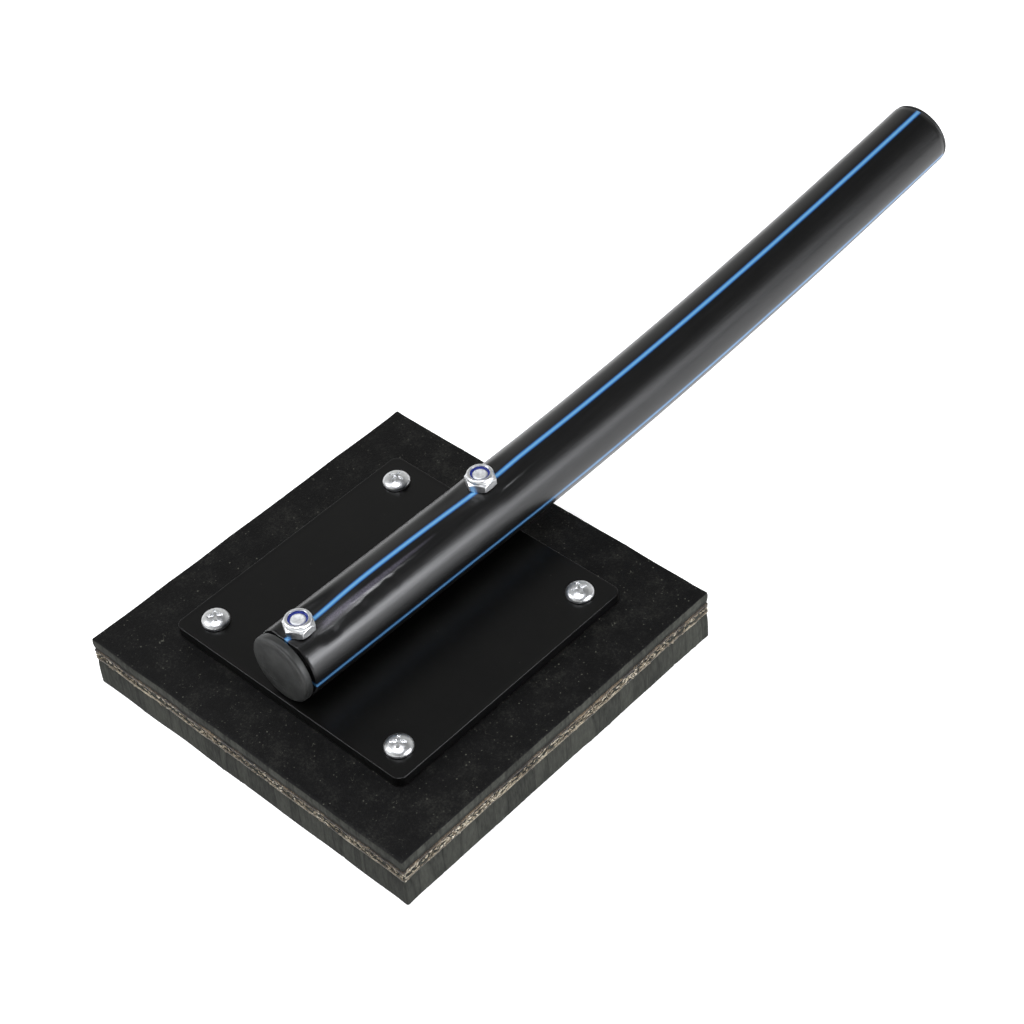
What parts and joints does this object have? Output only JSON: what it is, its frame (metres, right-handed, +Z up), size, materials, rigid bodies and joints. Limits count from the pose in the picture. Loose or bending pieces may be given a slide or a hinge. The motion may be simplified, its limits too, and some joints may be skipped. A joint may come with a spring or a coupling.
{
  "type": "rubber pad beater with pipe handle",
  "caption": "Thick square fabric-reinforced rubber pad under a bolted square plate, with a gently curved plastic pipe handle clamped flat along its centreline.",
  "frame": {"origin": "centre of the pad's working face, on the ground", "axes": "X across the pad, +Y along the handle towards its free end, +Z up through the pad"},
  "size_m": [0.228, 0.5611, 0.1121],
  "materials": {
    "pad_rubber": "matte black sheet rubber, knife-cut edges",
    "carcass_fabric": "cut ends of undyed woven ply",
    "plate_plastic": "satin black sheet",
    "zinc_steel": "bright zinc plating",
    "nylon_blue": "moulded dark blue nylon",
    "pipe_plastic": "extruded black polyethylene with light blue stripes",
    "plug_plastic": "moulded dark grey plastic"
  },
  "bodies": {
    "root": {"pad_top_cover": "pad_rubber", "pad_upper_ply": "carcass_fabric", "pad_skim_rubber": "pad_rubber", "pad_lower_ply": "carcass_fabric", "pad_bottom_cover": "pad_rubber", "mounting_plate": "plate_plastic", "plate_screw_1": "zinc_steel", "plate_screw_2": "zinc_steel", "plate_screw_3": "zinc_steel", "plate_screw_4": "zinc_steel", "screw_washer_1": "zinc_steel", "screw_washer_2": "zinc_steel", "screw_washer_3": "zinc_steel", "screw_washer_4": "zinc_steel", "screw_nut_1": "zinc_steel", "screw_nut_2": "zinc_steel", "screw_nut_3": "zinc_steel", "screw_nut_4": "zinc_steel", "front_handle_bolt": "zinc_steel", "rear_handle_bolt": "zinc_steel", "front_lock_nut": "zinc_steel", "rear_lock_nut": "zinc_steel", "front_nut_nylon_ring": "nylon_blue", "rear_nut_nylon_ring": "nylon_blue", "handle_pipe": "pipe_plastic", "front_end_plug": "plug_plastic", "rear_end_plug": "plug_plastic"}
  },
  "joints": []
}
